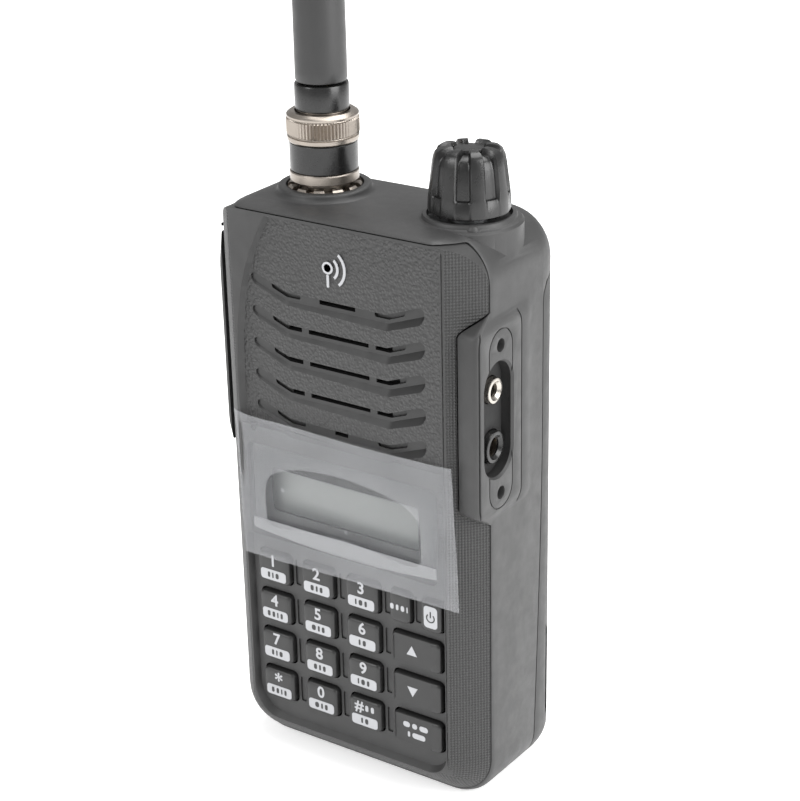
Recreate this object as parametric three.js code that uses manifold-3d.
// A handheld two-way radio: front panel, housing, keypad, boards, battery pack and antenna.
// Millimetres. +Z up, the front faces -Y, the origin is on the base under the body's middle.

import * as THREE from 'three';
import { mergeVertices } from 'three/addons/utils/BufferGeometryUtils.js';
import Module from 'manifold-3d';

const wasm = await Module();
wasm.setup();

// ---------------------------------------------------------------- driving dimensions

const GAP = 0.3; // clearance between pieces that rest on each other

const BODY = { half: 28.8, top: 112, back: 15.0 };
const CREST = { half: 22.8, low: 6.8, y: -15.6 }; // ridge round the front face
const SEAM_Y = -9.8; // outer edge of the front panel's chamfer
const FACE_Y = -14.6; // recessed front face
const INNER_FACE_Y = -12.9;
const WALL = 2.0;

const PANEL = { half: 28.5, low: 1.0, high: 111.3 };
const NOTCH = { low: 58.8, high: 99.4, depth: 3.9, slope: 3.6 }; // where the jack plate comes forward

const PLATE = { x: 29.3, front: -14.7, back: 3.0, low: 61.5, high: 95.8, slope: 3.0 };
const WELL = { y: -7.4, half: 5.0, low: 67.5, high: 89.9, floor: 26.9 };
const JACK_Y = -7.0;
const JACKS = [
  { name: 'jack_2_5mm', z: 83.6, sleeve: 2.4, bore: 1.25 },
  { name: 'jack_3_5mm', z: 72.8, sleeve: 3.0, bore: 1.75 },
];
const COVER_SCREWS = { y: -7.1, z: [92.5, 64.5], radius: 1.3, depth: 1.6 };

const PACK = { y: 8.2, top: 100.3, half: 24.4, low: 5.8, high: 96.1, front: 0.9, wall: 1.6 };
const CHASSIS = { front: -1.2, back: 0.4, half: 25.5, low: 3.6, high: 98.2 };
const LATCH = { half: 8.0, low: 4.6, high: 10.6, front: 13.0, travel: 2.2 };
const GRIP_SLOT = { low: 9, high: 29, y: 11.6, half: 1.1, depth: 1.6 };

const AERIAL = { x: -12.0, y: -0.4 };
const BOSS = { top: 113.4, radius: 8.6, foot: 9.3, bore: 7.1, floor: 111.6 };
const RING = { low: 114.3, top: 116.1, radius: 6.27 };
const BAND = { top: 121.7, radius: 6.2, thick: 0.35 };
const KNURL = { low: 122.6, top: 126.1, radius: 6.57, lip: 6.0, end: 127.0 };
const SLEEVE = { low: 127.3, top: 132.0, radius: 4.9 };
const WHIP = { top: 276, low: 4.67, high: 4.1, core: 2.0 };

const DIAL = { x: 18.8, y: -0.4 };
const KNOB = { low: 113.3, step: 116.8, shoulder: 123.4, top: 124.8, foot: 7.3, head: 6.1, ribs: 8 };
const COLLAR = { radius: 8.3, top: 112.9, bore: 3.8 };

const TALK = { low: 68.4, high: 93.0, front: -8.2, back: -2.4, proud: 31.4, inner: 25.5 };

const GRILLE = { top: 95.9, pitch: 6.18, rows: 5, slit: 1.0, middle: 6.5, side: 8.0, end: 15.5 };
const SPEAKER = { x: 0, z: 84.2, radius: 15.2, front: -12.4, back: -7.6 };
const MIC = { x: -19.3, z: 69.0, radius: 2.4 };

const WINDOW = { half: 21.1, low: 46.9, high: 65.9, open: 17.4, openLow: 51.6, openHigh: 62.4 };
const LCD = { half: 19.0, low: 50.4, high: 64.0 };

const KEY = { front: -15.6, back: -12.1, travel: 0.6, radius: 1.0, height: 6.3, bevel: 0.35, flange: 0.55 };
const KEY_ROWS = [40.2, 31.66, 23.12, 14.58];
const SMALL_KEY = { width: 7.3, columns: [-16.4, -6.2, 4.0] };
const WIDE_KEY = { width: 10.8, x: 15.9 };
const NARROW_KEY = { width: 4.5, columns: [12.5, 19.4] };
const KEY_NAMES = [
  ['key_1', 'key_2', 'key_3'],
  ['key_4', 'key_5', 'key_6'],
  ['key_7', 'key_8', 'key_9'],
  ['key_star', 'key_0', 'key_hash'],
];
const WIDE_NAMES = ['key_up', 'key_down', 'key_mode'];
const NARROW_NAMES = ['key_monitor', 'key_power'];

const STRAP = { left: -4, right: 13, foot: 1.6, root: 12.0, front: 13.6, back: 15.4, low: 108.1, high: 109.5 };

const MEMBRANE = { left: -21.3, right: 22.0, low: 9.8, high: 45.2, front: -10.9, back: -10.0, radius: 2.5 };
const LOGIC_BOARD = { half: 23.5, front: -9.7, back: -8.7, low: 7, high: 66 };
const RF_BOARD = { half: 23.5, front: -4.2, back: -3.0, low: 7, high: 98 };
const SHIELD = { half: 18, front: -8.0, back: -4.5, low: 18, high: 62 };
const TALK_SWITCH = { left: -24.4, right: -20.5, front: -7.4, back: -4.4, low: 78, high: 84 };
const JACK_BLOCK = { left: 16.4, right: 25.2, front: 1.4, back: 2.4, half: 4.2 };
const CELL = { inner: 0.6, outer: 22.3, front: 2.9, back: 12.9, low: 22, high: 93 };
const CELL_BOARD = { half: 20, front: 3.2, back: 4.4, low: 12.8, high: 21.2 };
const SCREW = { head: 2.0, headHeight: 1.1, shank: 1.0, x: 21, heights: [20, 90] };
const MAGNET = { radius: 8, thick: 2.4 };

const FILM = { half: 24.3, low: 42.9, high: 71.3, front: -16.2, back: -15.9 };

const ROUND = 32; // facets on a full turn
const CORNER = 4; // facets on a quarter turn of the body's sections
const ARC = 2; // half the facets on a quarter turn of an extruded outline

// ---------------------------------------------------------------- materials

const finish = {
  shell: { color: 0x2b2d2f, roughness: 0.62, metalness: 0 },
  rubber: { color: 0x202223, roughness: 0.7, metalness: 0 },
  key: { color: 0x1b1c1d, roughness: 0.55, metalness: 0 },
  gloss: { color: 0x101112, roughness: 0.3, metalness: 0 },
  nickel: { color: 0x9a9085, roughness: 0.35, metalness: 1 },
  cast: { color: 0x8c8f92, roughness: 0.5, metalness: 1 },
  brass: { color: 0xb59a5a, roughness: 0.4, metalness: 1 },
  board: { color: 0x1f5a37, roughness: 0.5, metalness: 0 },
  cell: { color: 0x9fb0bd, roughness: 0.4, metalness: 0.3 },
  lcd: { color: 0x8d928c, roughness: 0.25, metalness: 0 },
  lens: { color: 0x3a3d3f, roughness: 0.1, metalness: 0 },
  film: { color: 0xc9ccd0, roughness: 0.3, metalness: 0 },
  white: { color: 0xe6e6e2, roughness: 0.4, metalness: 0 },
};

// ---------------------------------------------------------------- solids

// Six times the volume inside a closed triangle mesh, negative when its faces point inwards.
function signedVolume(positions, triangles) {
  const corner = (i) => new THREE.Vector3().fromArray(positions, 3 * triangles[i]);
  let sum = 0;
  for (let i = 0; i < triangles.length; i += 3) {
    sum += corner(i).dot(corner(i + 1).cross(corner(i + 2)));
  }
  return sum;
}

function toSolid(geometry) {
  const bare = geometry.clone();
  bare.deleteAttribute('normal');
  bare.deleteAttribute('uv');
  const merged = mergeVertices(bare, 1e-4);
  const positions = new Float32Array(merged.attributes.position.array);
  const triangles = new Uint32Array(merged.index.array);
  if (signedVolume(positions, triangles) < 0) {
    triangles.reverse();
  }
  return new wasm.Manifold(new wasm.Mesh({ numProp: 3, vertProperties: positions, triVerts: triangles }));
}

function toGeometry(solid) {
  const mesh = solid.getMesh();
  const geometry = new THREE.BufferGeometry();
  geometry.setAttribute('position', new THREE.BufferAttribute(mesh.vertProperties, 3));
  geometry.setIndex(new THREE.BufferAttribute(mesh.triVerts, 1));
  geometry.computeVertexNormals();
  return geometry;
}

function box(x0, x1, y0, y1, z0, z1) {
  const geometry = new THREE.BoxGeometry(x1 - x0, y1 - y0, z1 - z0);
  geometry.translate((x0 + x1) / 2, (y0 + y1) / 2, (z0 + z1) / 2);
  return toSolid(geometry);
}

// An outline in the XZ plane, given thickness from y0 to y1.
function slabY(shape, y0, y1, bevel = 0, arc = ARC) {
  const geometry = new THREE.ExtrudeGeometry(shape, {
    depth: y1 - y0 - 2 * bevel,
    curveSegments: arc,
    bevelEnabled: bevel > 0,
    bevelThickness: bevel,
    bevelSize: bevel,
    bevelOffset: -bevel,
    bevelSegments: 1,
  });
  geometry.rotateX(Math.PI / 2);
  geometry.translate(0, y1 - bevel, 0);
  return toSolid(geometry);
}

// An outline in the YZ plane, given thickness from x0 to x1.
function slabX(shape, x0, x1) {
  const geometry = new THREE.ExtrudeGeometry(shape, {
    depth: x1 - x0,
    curveSegments: ARC,
    bevelEnabled: false,
  });
  const basis = new THREE.Matrix4().makeBasis(
    new THREE.Vector3(0, 1, 0),
    new THREE.Vector3(0, 0, 1),
    new THREE.Vector3(1, 0, 0),
  );
  geometry.applyMatrix4(basis);
  geometry.translate(x0, 0, 0);
  return toSolid(geometry);
}

// A rectangle u0..u1 by v0..v1 with its own radius at each corner, from lower left, anticlockwise.
function roundedRect(u0, u1, v0, v1, radii) {
  const [lowLeft, lowRight, highRight, highLeft] = radii;
  const shape = new THREE.Shape();
  shape.absarc(u0 + lowLeft, v0 + lowLeft, lowLeft, Math.PI, 1.5 * Math.PI);
  shape.absarc(u1 - lowRight, v0 + lowRight, lowRight, 1.5 * Math.PI, 2 * Math.PI);
  shape.absarc(u1 - highRight, v1 - highRight, highRight, 0, 0.5 * Math.PI);
  shape.absarc(u0 + highLeft, v1 - highLeft, highLeft, 0.5 * Math.PI, Math.PI);
  shape.closePath();
  return shape;
}

function evenRect(u0, u1, v0, v1, radius) {
  return roundedRect(u0, u1, v0, v1, [radius, radius, radius, radius]);
}

// A solid of revolution about a vertical axis: profile is [radius, z] pairs from axis to axis.
function turned(x, y, profile, facets = ROUND) {
  const points = profile.map(([radius, z]) => new THREE.Vector2(radius, z));
  const geometry = new THREE.LatheGeometry(points, facets);
  geometry.rotateX(Math.PI / 2);
  geometry.translate(x, y, 0);
  return toSolid(geometry);
}

function rod(x, y, z0, z1, radius, facets = ROUND) {
  return turned(x, y, [[0, z0], [radius, z0], [radius, z1], [0, z1]], facets);
}

function tube(x, y, z0, z1, outer, inner) {
  return rod(x, y, z0, z1, outer).subtract(rod(x, y, z0 - 1, z1 + 1, inner));
}

function rodY(x, z, y0, y1, radius, facets = ROUND) {
  const geometry = new THREE.CylinderGeometry(radius, radius, y1 - y0, facets);
  geometry.translate(x, (y0 + y1) / 2, z);
  return toSolid(geometry);
}

function rodX(y, z, x0, x1, radius, facets = ROUND) {
  const geometry = new THREE.CylinderGeometry(radius, radius, x1 - x0, facets);
  geometry.rotateZ(Math.PI / 2);
  geometry.translate((x0 + x1) / 2, y, z);
  return toSolid(geometry);
}

// Skins equal-length convex rings of points into one closed solid.
function loft(rings) {
  const count = rings[0].length;
  const positions = rings.flat().flatMap((point) => [point.x, point.y, point.z]);
  const index = [];
  for (let ring = 0; ring + 1 < rings.length; ring += 1) {
    for (let i = 0; i < count; i += 1) {
      const a = ring * count + i;
      const b = ring * count + ((i + 1) % count);
      index.push(a, b, b + count, a, b + count, a + count);
    }
  }
  const last = (rings.length - 1) * count;
  for (let i = 1; i + 1 < count; i += 1) {
    index.push(0, i + 1, i);
    index.push(last, last + i, last + i + 1);
  }
  const geometry = new THREE.BufferGeometry();
  geometry.setAttribute('position', new THREE.Float32BufferAttribute(positions, 3));
  geometry.setIndex(index);
  return toSolid(geometry);
}

// ---------------------------------------------------------------- the body's outer form

// One closed section of the body at depth y, seen from the front.
function bodyRing({ y, half, low, high, lowRadius, highRadius }) {
  const corners = [
    [half - lowRadius, low + lowRadius, lowRadius, 1.5],
    [half - highRadius, high - highRadius, highRadius, 0],
    [highRadius - half, high - highRadius, highRadius, 0.5],
    [lowRadius - half, low + lowRadius, lowRadius, 1],
  ];
  return corners.flatMap(([x, z, radius, start]) => {
    const arc = [];
    for (let step = 0; step <= CORNER; step += 1) {
      const turn = Math.PI * (start + step / (2 * CORNER));
      arc.push(new THREE.Vector3(x + radius * Math.cos(turn), y, z + radius * Math.sin(turn)));
    }
    return arc;
  });
}

function sectionRow(y, half, low, high, lowRadius, highRadius) {
  return { y, half, low, high, lowRadius, highRadius };
}

const outerSections = [
  sectionRow(CREST.y, CREST.half, CREST.low, PANEL.high, 4.5, 2.5),
  sectionRow(SEAM_Y, PANEL.half, PANEL.low, BODY.top - 0.2, 9.0, 8.5),
  sectionRow(SEAM_Y + 2, BODY.half, 0, BODY.top, 8.5, 8.5),
  sectionRow(7.9, BODY.half, 0, BODY.top, 7.5, 8.5),
  sectionRow(10.6, BODY.half - 0.4, 0, BODY.top - 0.8, 7.2, 8.3),
  sectionRow(13.4, BODY.half - 2.0, 0.6, BODY.top - 3.0, 6.0, 7.5),
  sectionRow(BODY.back, BODY.half - 4.8, 2.4, BODY.top - 6.4, 4.5, 6.0),
];

const innerSections = [
  sectionRow(INNER_FACE_Y, CREST.half - 1.2, CREST.low + 1.2, PANEL.high - WALL, 3.5, 2.0),
  sectionRow(SEAM_Y + 1, PANEL.half - WALL, PANEL.low + WALL, BODY.top - WALL - 0.2, 7.2, 6.7),
  sectionRow(7.9, BODY.half - WALL, WALL, BODY.top - WALL, 6.0, 6.7),
  sectionRow(12.6, BODY.half - WALL - 1.6, WALL, BODY.top - WALL - 2.6, 5.5, 6.0),
];

function ringsOf(sections) {
  return sections.map(bodyRing);
}

const outerForm = loft(ringsOf(outerSections));
const innerForm = loft(ringsOf(innerSections));

// The flat plate round the jacks, standing forward of the chamfer, with sloped ends.
function jackPlateForm() {
  const section = (z, reach) => {
    const frontY = SEAM_Y - 0.6 + (PLATE.front - SEAM_Y + 0.6) * reach;
    const side = BODY.half + (PLATE.x - BODY.half) * reach;
    const inner = PANEL.half - 1 - (NOTCH.depth - 1) * reach;
    return [
      new THREE.Vector3(20, 4.5, z),
      new THREE.Vector3(20, -8, z),
      new THREE.Vector3(inner, SEAM_Y - 0.9 - 3.1 * reach, z),
      new THREE.Vector3(side - 0.5, frontY, z),
      new THREE.Vector3(side, frontY + 0.7, z),
      new THREE.Vector3(side, PLATE.back, z),
      new THREE.Vector3(BODY.half, PLATE.back + 1.5, z),
    ];
  };
  return loft([
    section(PLATE.low - PLATE.slope, 0),
    section(PLATE.low, 1),
    section(PLATE.high, 1),
    section(PLATE.high + PLATE.slope, 0),
  ]);
}

// The low fairing that carries the talk button on the left side.
function talkFairing() {
  const section = (z, proud) => [
    new THREE.Vector3(-20, -13, z),
    new THREE.Vector3(-20, 3, z),
    new THREE.Vector3(-BODY.half + 0.3, 2, z),
    new THREE.Vector3(-BODY.half - proud, -0.8, z),
    new THREE.Vector3(-BODY.half - proud, -9.2, z),
    new THREE.Vector3(-BODY.half + 0.5, -10.3, z),
  ];
  return loft([
    section(TALK.low - 6, 0),
    section(TALK.low - 2.5, 1.2),
    section(TALK.high + 1.5, 1.2),
    section(TALK.high + 10, 0.9),
    section(TALK.high + 12.5, 0),
  ]);
}

// ---------------------------------------------------------------- the front panel's outline

// The panel seen from the front, notched on its right where the jack plate stands forward.
function panelShape(margin) {
  const half = PANEL.half + margin;
  const low = PANEL.low - 2;
  const high = PANEL.high + margin;
  const notch = half - NOTCH.depth;
  const shape = new THREE.Shape();
  shape.moveTo(-half, low);
  shape.lineTo(half, low);
  shape.lineTo(half, NOTCH.low + margin);
  shape.lineTo(notch, NOTCH.low + NOTCH.slope + margin);
  shape.lineTo(notch, NOTCH.high - NOTCH.slope - margin);
  shape.lineTo(half, NOTCH.high - margin);
  shape.lineTo(half, high - 9);
  shape.absarc(half - 9, high - 9, 9, 0, 0.5 * Math.PI);
  shape.absarc(9 - half, high - 9, 9, 0.5 * Math.PI, Math.PI);
  shape.closePath();
  return shape;
}

function panelRegion(margin) {
  return slabY(panelShape(margin), -30, SEAM_Y + margin);
}

const packRegion = box(-40, 40, PACK.y - GAP, 30, -5, PACK.top + GAP);

// ---------------------------------------------------------------- keys

function keyPlan() {
  const plan = [];
  KEY_NAMES.forEach((row, line) => {
    row.forEach((name, column) => {
      plan.push({ name, x: SMALL_KEY.columns[column], z: KEY_ROWS[line], width: SMALL_KEY.width });
    });
  });
  WIDE_NAMES.forEach((name, line) => {
    plan.push({ name, x: WIDE_KEY.x, z: KEY_ROWS[line + 1], width: WIDE_KEY.width });
  });
  NARROW_NAMES.forEach((name, column) => {
    plan.push({ name, x: NARROW_KEY.columns[column], z: KEY_ROWS[0], width: NARROW_KEY.width });
  });
  return plan;
}

function keyOutline({ x, z, width }, margin) {
  const halfWidth = width / 2 + margin;
  const halfHeight = KEY.height / 2 + margin;
  return evenRect(x - halfWidth, x + halfWidth, z - halfHeight, z + halfHeight, KEY.radius + margin);
}

function keyCap(key) {
  const cap = slabY(keyOutline(key, 0), KEY.front, KEY.back, KEY.bevel, 1);
  const flange = slabY(keyOutline(key, KEY.flange), KEY.back - 0.1, KEY.back + 0.4, 0, 1);
  return cap.add(flange);
}

// ---------------------------------------------------------------- casing pieces

function frontPanel() {
  let panel = outerForm.intersect(panelRegion(0)).subtract(innerForm);
  const face = evenRect(-CREST.half + 1, CREST.half - 1, CREST.low + 0.8, PANEL.high - 0.4, 4);
  panel = panel.subtract(slabY(face, -20, FACE_Y));
  for (let row = 0; row < GRILLE.rows; row += 1) {
    const z = GRILLE.top - row * GRILLE.pitch;
    panel = panel.subtract(box(-GRILLE.middle, GRILLE.middle, -16, -12, z, z + GRILLE.slit));
    for (const side of [-1, 1]) {
      const ends = [side * GRILLE.side, side * GRILLE.end].sort((a, b) => a - b);
      panel = panel.subtract(box(...ends, -16, -12, z + 0.3, z + 1.1));
    }
  }
  const seat = evenRect(-WINDOW.half, WINDOW.half, WINDOW.low, WINDOW.high, 1.2);
  panel = panel.subtract(slabY(seat, -16, FACE_Y + 0.9));
  panel = panel.subtract(box(-WINDOW.open, WINDOW.open, -16, -12, WINDOW.openLow, WINDOW.openHigh));
  for (const key of keyPlan()) {
    panel = panel.subtract(slabY(keyOutline(key, 0.25), -16.5, -12, 0, 1));
  }
  panel = panel.subtract(rodY(MIC.x, MIC.z, -16, -12, 0.6, 12));
  return panel;
}

function mainHousing() {
  let housing = outerForm.add(jackPlateForm()).add(talkFairing());
  housing = housing.subtract(panelRegion(0.2)).subtract(packRegion);
  const boss = turned(AERIAL.x, AERIAL.y, [
    [0, 105],
    [BOSS.foot, 105],
    [BOSS.foot, BODY.top - 0.1],
    [BOSS.radius, BODY.top + 0.5],
    [BOSS.radius, BOSS.top - 0.4],
    [BOSS.radius - 0.5, BOSS.top],
    [0, BOSS.top],
  ]);
  const collar = turned(DIAL.x, DIAL.y, [
    [0, 105],
    [COLLAR.radius + 0.8, 105],
    [COLLAR.radius + 0.8, BODY.top - 0.3],
    [COLLAR.radius, COLLAR.top - 0.3],
    [COLLAR.radius - 0.4, COLLAR.top],
    [0, COLLAR.top],
  ]);
  housing = housing.add(boss).add(collar);
  const frontRoom = innerForm.intersect(box(-40, 40, -30, CHASSIS.back + GAP, -5, 120));
  const topRoom = innerForm.intersect(box(-26, 26, -12, 7.6, 98.8, 109.8));
  housing = housing.subtract(frontRoom).subtract(topRoom);
  const pocketHalf = PACK.half + GAP;
  housing = housing.subtract(box(-pocketHalf, pocketHalf, 0, 9, PACK.low - 1.1, PACK.high + GAP));
  housing = housing.subtract(rod(AERIAL.x, AERIAL.y, BOSS.floor, 120, BOSS.bore));
  housing = housing.subtract(rod(AERIAL.x, AERIAL.y, 105, 120, 5.1));
  housing = housing.subtract(rod(DIAL.x, DIAL.y, BODY.top - 0.2, 120, KNOB.foot + 0.2));
  housing = housing.subtract(rod(DIAL.x, DIAL.y, 105, 120, COLLAR.bore));
  const well = evenRect(WELL.y - WELL.half, WELL.y + WELL.half, WELL.low, WELL.high, WELL.half - 0.01);
  housing = housing.subtract(slabX(well, WELL.floor, 40));
  for (const jack of JACKS) {
    housing = housing.subtract(rodX(JACK_Y, jack.z, 20, 40, jack.sleeve + 0.2, 24));
  }
  for (const z of COVER_SCREWS.z) {
    const depth = PLATE.x - COVER_SCREWS.depth;
    housing = housing.subtract(rodX(COVER_SCREWS.y, z, depth, 40, COVER_SCREWS.radius, 16));
  }
  const talkHole = evenRect(TALK.front - 0.3, TALK.back + 0.3, TALK.low - 0.3, TALK.high + 0.3, 2.3);
  housing = housing.subtract(slabX(talkHole, -40, -20));
  return housing;
}

function batteryCase() {
  let pack = outerForm.intersect(box(-40, 40, PACK.y, 30, -5, PACK.top));
  pack = pack.add(box(-PACK.half, PACK.half, PACK.front, PACK.y + 0.2, PACK.low, PACK.high));
  const half = PACK.half - PACK.wall;
  const low = PACK.low + PACK.wall + 5;
  const high = PACK.high - PACK.wall;
  pack = pack.subtract(box(-half, half, PACK.front + 1.6, 13.3, low, high));
  pack = pack.subtract(box(-half + 1, half - 1, 0, 5, low + 1, high - 1));
  pack = pack.subtract(box(-LATCH.half - GAP, LATCH.half + GAP, LATCH.front - GAP, 20,
    LATCH.low - GAP, LATCH.high + LATCH.travel + GAP));
  for (const side of [-1, 1]) {
    const edge = side * (BODY.half - GRIP_SLOT.depth);
    const ends = [edge, side * 40].sort((a, b) => a - b);
    const y = GRIP_SLOT.y;
    pack = pack.subtract(
      box(...ends, y - GRIP_SLOT.half, y + GRIP_SLOT.half, GRIP_SLOT.low, GRIP_SLOT.high),
    );
  }
  return pack;
}

function batteryPlate() {
  const half = PACK.half - PACK.wall - 1 - GAP;
  const low = PACK.low + PACK.wall + 6 + GAP;
  const high = PACK.high - PACK.wall - 1 - GAP;
  return box(-half, half, PACK.front, PACK.front + 1.3, low, high);
}

function rearChassis() {
  const shape = evenRect(-CHASSIS.half, CHASSIS.half, CHASSIS.low, CHASSIS.high, 4);
  let plate = slabY(shape, CHASSIS.front, CHASSIS.back);
  for (const x of [-6, 0, 6]) {
    plate = plate.subtract(box(x - 1.6, x + 1.6, -3, 3, 12, 16));
  }
  for (const [x, z] of chassisScrewPlaces()) {
    plate = plate.subtract(rodY(x, z, -3, 3, 1.3, 12));
  }
  return plate;
}

function chassisScrewPlaces() {
  return SCREW.heights.flatMap((z) => [[-SCREW.x, z], [SCREW.x, z]]);
}

// ---------------------------------------------------------------- aerial

function aerialCoupling() {
  const outer = turned(AERIAL.x, AERIAL.y, [
    [0, RING.low],
    [RING.radius, RING.low],
    [RING.radius, RING.top],
    [BAND.radius - BAND.thick - 0.3, RING.top],
    [BAND.radius - BAND.thick - 0.3, BAND.top],
    [KNURL.lip + 0.3, BAND.top],
    [KNURL.lip + 0.3, KNURL.low],
    [KNURL.radius, KNURL.low],
    [KNURL.radius, KNURL.top],
    [KNURL.lip, KNURL.top],
    [KNURL.lip, KNURL.end],
    [0, KNURL.end],
  ], 40);
  const bore = rod(AERIAL.x, AERIAL.y, RING.low - 1, KNURL.top - 0.6, 5.15, 40);
  const mouth = rod(AERIAL.x, AERIAL.y, KNURL.top - 1, KNURL.end + 1, SLEEVE.radius + 0.12, 40);
  return outer.subtract(bore).subtract(mouth);
}

function aerialBase() {
  const body = turned(AERIAL.x, AERIAL.y, [
    [0, 115.5],
    [1.0, 115.5],
    [1.0, 119.0],
    [3.6, 119.0],
    [3.6, 123.9],
    [5.0, 123.9],
    [5.0, 125.2],
    [4.7, 125.2],
    [4.7, SLEEVE.low],
    [SLEEVE.radius, SLEEVE.low],
    [SLEEVE.radius, SLEEVE.top],
    [0, SLEEVE.top],
  ]);
  return body.subtract(rod(AERIAL.x, AERIAL.y, 128, 140, WHIP.core + GAP));
}

function whip() {
  const tip = WHIP.high;
  const profile = [[0, SLEEVE.top + GAP], [WHIP.low, SLEEVE.top + GAP], [WHIP.high, WHIP.top - tip]];
  for (let step = 1; step <= 4; step += 1) {
    const turn = (Math.PI / 2) * (step / 4);
    const radius = step === 4 ? 0 : tip * Math.cos(turn);
    profile.push([radius, WHIP.top - tip + tip * Math.sin(turn)]);
  }
  const sheath = turned(AERIAL.x, AERIAL.y, profile);
  return sheath.subtract(rod(AERIAL.x, AERIAL.y, 130, WHIP.top - 8, WHIP.core + GAP, 16));
}

function aerialSocket() {
  const body = turned(AERIAL.x, AERIAL.y, [
    [0, 102],
    [3.2, 102],
    [3.2, 106.5],
    [6.4, 106.5],
    [6.4, 109.3],
    [4.8, 109.3],
    [4.8, 122.8],
    [0, 122.8],
  ]);
  const mouth = rod(AERIAL.x, AERIAL.y, 114.6, 130, 4.0);
  return body.subtract(mouth);
}

// The slotted ring nut that holds the socket in its boss.
function socketNut() {
  let nut = tube(AERIAL.x, AERIAL.y, BOSS.floor + GAP, BOSS.top + 0.2, 6.7, 5.0);
  for (let slot = 0; slot < 6; slot += 1) {
    const cutter = new THREE.BoxGeometry(1.4, 16, 1.2);
    cutter.rotateZ((slot * Math.PI) / 6);
    cutter.translate(AERIAL.x, AERIAL.y, BOSS.top + 0.2);
    nut = nut.subtract(toSolid(cutter));
  }
  return nut;
}

// ---------------------------------------------------------------- dial

// A ring of the knob at height z: ribs stand out of a smaller round, `radius` at their tops.
function knobRing(z, radius, relief) {
  const points = [];
  const steps = KNOB.ribs * 6;
  for (let i = 0; i < steps; i += 1) {
    const turn = (2 * Math.PI * i) / steps;
    const onRib = i % 6 < 2 ? 0 : relief;
    const reach = radius - onRib;
    points.push(new THREE.Vector3(DIAL.x + reach * Math.cos(turn), DIAL.y + reach * Math.sin(turn), z));
  }
  return points;
}

function knob() {
  const body = loft([
    knobRing(KNOB.low, KNOB.foot, 0.35),
    knobRing(KNOB.step, KNOB.foot - 0.35, 0.35),
    knobRing(KNOB.step + 0.5, KNOB.foot - 0.4, 0.95),
    knobRing(KNOB.shoulder, KNOB.head, 0.95),
    knobRing(KNOB.top - 0.4, KNOB.head - 0.9, 0.9),
    knobRing(KNOB.top, KNOB.head - 2.4, 0.5),
  ]);
  return body.subtract(rod(DIAL.x, DIAL.y, 110, 121.5, 3.1, 24));
}

function encoderShaft() {
  return rod(DIAL.x, DIAL.y, 106.6, 121.2, 2.6, 24);
}

function encoderBody() {
  const block = box(DIAL.x - 6, DIAL.x + 6, DIAL.y - 6, DIAL.y + 6, 99.4, 106.3);
  const bush = rod(DIAL.x, DIAL.y, 106, 112.6, 3.5, 24);
  return block.add(bush).subtract(rod(DIAL.x, DIAL.y, 106, 120, 2.9, 24));
}

// ---------------------------------------------------------------- talk button

// The bar at the rear top edge that a strap goes round.
function strapBar() {
  const { left, right, foot, root, front, back, low, high } = STRAP;
  const bar = box(left, right, front, back, low, high);
  const leftFoot = box(left, left + foot, root, back, low, high);
  const rightFoot = box(right - foot, right, root, back, low, high);
  return bar.add(leftFoot).add(rightFoot).subtract(outerForm);
}

// A plain upright plate or block, centred on the body's middle.
function plateOf({ half, front, back, low, high }) {
  return box(-half, half, front, back, low, high);
}

function talkButton() {
  const shape = evenRect(TALK.front, TALK.back, TALK.low, TALK.high, 2.0);
  const pad = slabX(shape, -TALK.proud, -TALK.inner - 0.3);
  const shave = new THREE.BoxGeometry(4, 20, 8);
  const top = shave.clone();
  top.rotateY(0.5);
  top.translate(-TALK.proud - 1.1, (TALK.front + TALK.back) / 2, TALK.high + 1);
  const bottom = shave.clone();
  bottom.rotateY(-0.5);
  bottom.translate(-TALK.proud - 1.1, (TALK.front + TALK.back) / 2, TALK.low - 1);
  const rim = evenRect(TALK.front - 0.7, TALK.back + 0.7, TALK.low - 0.7, TALK.high + 0.7, 2.6);
  const flange = slabX(rim, -TALK.inner - 0.6, -TALK.inner);
  return pad.subtract(toSolid(top)).subtract(toSolid(bottom)).add(flange);
}

// ---------------------------------------------------------------- the assembly

const radio = new THREE.Group();
radio.name = 'handheld_radio';

function place(name, solid, look) {
  const mesh = new THREE.Mesh(toGeometry(solid), new THREE.MeshStandardMaterial(finish[look]));
  mesh.name = name;
  radio.add(mesh);
}

// Casing.
place('front_panel', frontPanel(), 'shell');
place('main_housing', mainHousing(), 'shell');
place('rear_chassis', rearChassis(), 'cast');
chassisScrewPlaces().forEach(([x, z], i) => {
  const seat = CHASSIS.front - GAP;
  const head = rodY(x, z, seat - SCREW.headHeight, seat, SCREW.head, 12);
  const shank = rodY(x, z, seat - 0.2, CHASSIS.back - 0.1, SCREW.shank, 12);
  place(`chassis_screw_${i + 1}`, head.add(shank), 'cast');
});
place('strap_bar', strapBar(), 'shell');

// Display.
const lensShape = evenRect(-WINDOW.half + 0.2, WINDOW.half - 0.2, WINDOW.low + 0.2, WINDOW.high - 0.2, 1.1);
place('display_lens', slabY(lensShape, FACE_Y, FACE_Y + 0.7), 'lens');
place('lcd_panel', box(-LCD.half, LCD.half, -12.6, -11.4, LCD.low, LCD.high), 'lcd');
place('lcd_backlight', box(-LCD.half + 1, LCD.half - 1, -11.1, -10.2, LCD.low + 1, LCD.high - 1), 'white');

// Keypad.
for (const key of keyPlan()) {
  place(key.name, keyCap(key), 'key');
}
const padShape = evenRect(MEMBRANE.left, MEMBRANE.right, MEMBRANE.low, MEMBRANE.high, MEMBRANE.radius);
place('keypad_membrane', slabY(padShape, MEMBRANE.front, MEMBRANE.back), 'rubber');

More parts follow.
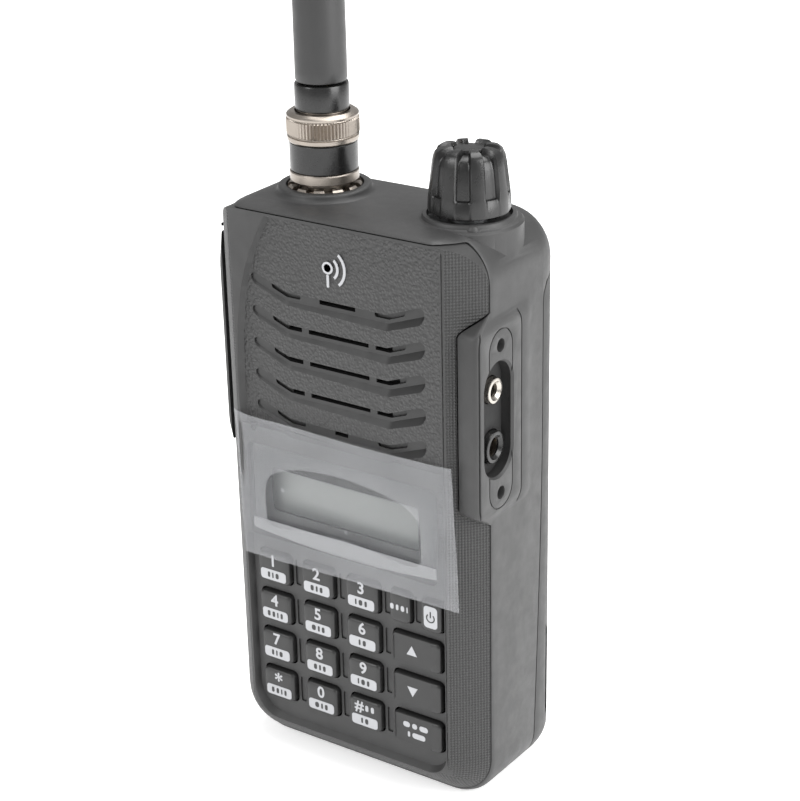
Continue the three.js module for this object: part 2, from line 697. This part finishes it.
// Boards and sound.
place('logic_board', plateOf(LOGIC_BOARD), 'board');
place('rf_board', plateOf(RF_BOARD), 'board');
place('shield_can', plateOf(SHIELD), 'cast');
place('speaker', rodY(SPEAKER.x, SPEAKER.z, SPEAKER.front + 0.9, SPEAKER.back, SPEAKER.radius)
  .add(rodY(SPEAKER.x, SPEAKER.z, SPEAKER.back - 0.2, SPEAKER.back + MAGNET.thick, MAGNET.radius)), 'cast');
place('speaker_mesh', rodY(SPEAKER.x, SPEAKER.z, SPEAKER.front, SPEAKER.front + 0.5, SPEAKER.radius), 'rubber');
place('microphone', rodY(MIC.x, MIC.z, -12.4, -10.4, MIC.radius, 20), 'cast');

// Dial.
place('tuning_knob', knob(), 'gloss');
place('encoder_shaft', encoderShaft(), 'cast');
place('encoder_body', encoderBody(), 'cast');

// Aerial and its socket.
place('aerial_socket', aerialSocket(), 'nickel');
place('socket_nut', socketNut(), 'nickel');
place('aerial_coupling', aerialCoupling(), 'nickel');
place('coupling_band', tube(AERIAL.x, AERIAL.y, RING.top + 0.15, BAND.top - 0.15,
  BAND.radius, BAND.radius - BAND.thick + 0.05), 'gloss');
place('aerial_base', aerialBase(), 'gloss');
place('aerial_whip', whip(), 'rubber');
place('aerial_core', rod(AERIAL.x, AERIAL.y, 128.4, WHIP.top - 10, WHIP.core, 12), 'brass');

// Side controls and sockets.
place('talk_button', talkButton(), 'rubber');
place('talk_switch', box(TALK_SWITCH.left, TALK_SWITCH.right, TALK_SWITCH.front, TALK_SWITCH.back,
  TALK_SWITCH.low, TALK_SWITCH.high), 'gloss');
for (const jack of JACKS) {
  const barrel = rodX(JACK_Y, jack.z, 24.9, WELL.floor + 0.5, jack.sleeve, 24);
  const block = box(JACK_BLOCK.left, JACK_BLOCK.right, JACK_Y - JACK_BLOCK.front, JACK_Y + JACK_BLOCK.back,
    jack.z - JACK_BLOCK.half, jack.z + JACK_BLOCK.half);
  const bore = rodX(JACK_Y, jack.z, JACK_BLOCK.left - 1, PLATE.x + 1, jack.bore, 20);
  place(jack.name, barrel.add(block).subtract(bore), jack.sleeve < 2.5 ? 'nickel' : 'gloss');
}

// Battery pack.
place('battery_case', batteryCase(), 'shell');
place('battery_plate', batteryPlate(), 'shell');
for (const side of [-1, 1]) {
  const ends = [side * CELL.inner, side * CELL.outer].sort((a, b) => a - b);
  const cell = box(...ends, CELL.front, CELL.back, CELL.low, CELL.high);
  place(side < 0 ? 'battery_cell_left' : 'battery_cell_right', cell, 'cell');
}
place('battery_board', plateOf(CELL_BOARD), 'board');
place('battery_latch', box(-LATCH.half, LATCH.half, LATCH.front, BODY.back - 0.2, LATCH.low, LATCH.high), 'gloss');

// Film over the display.
const filmShape = evenRect(-FILM.half, FILM.half, FILM.low, FILM.high, 0.5);
place('display_film', slabY(filmShape, FILM.front, FILM.back), 'film');

export default radio;
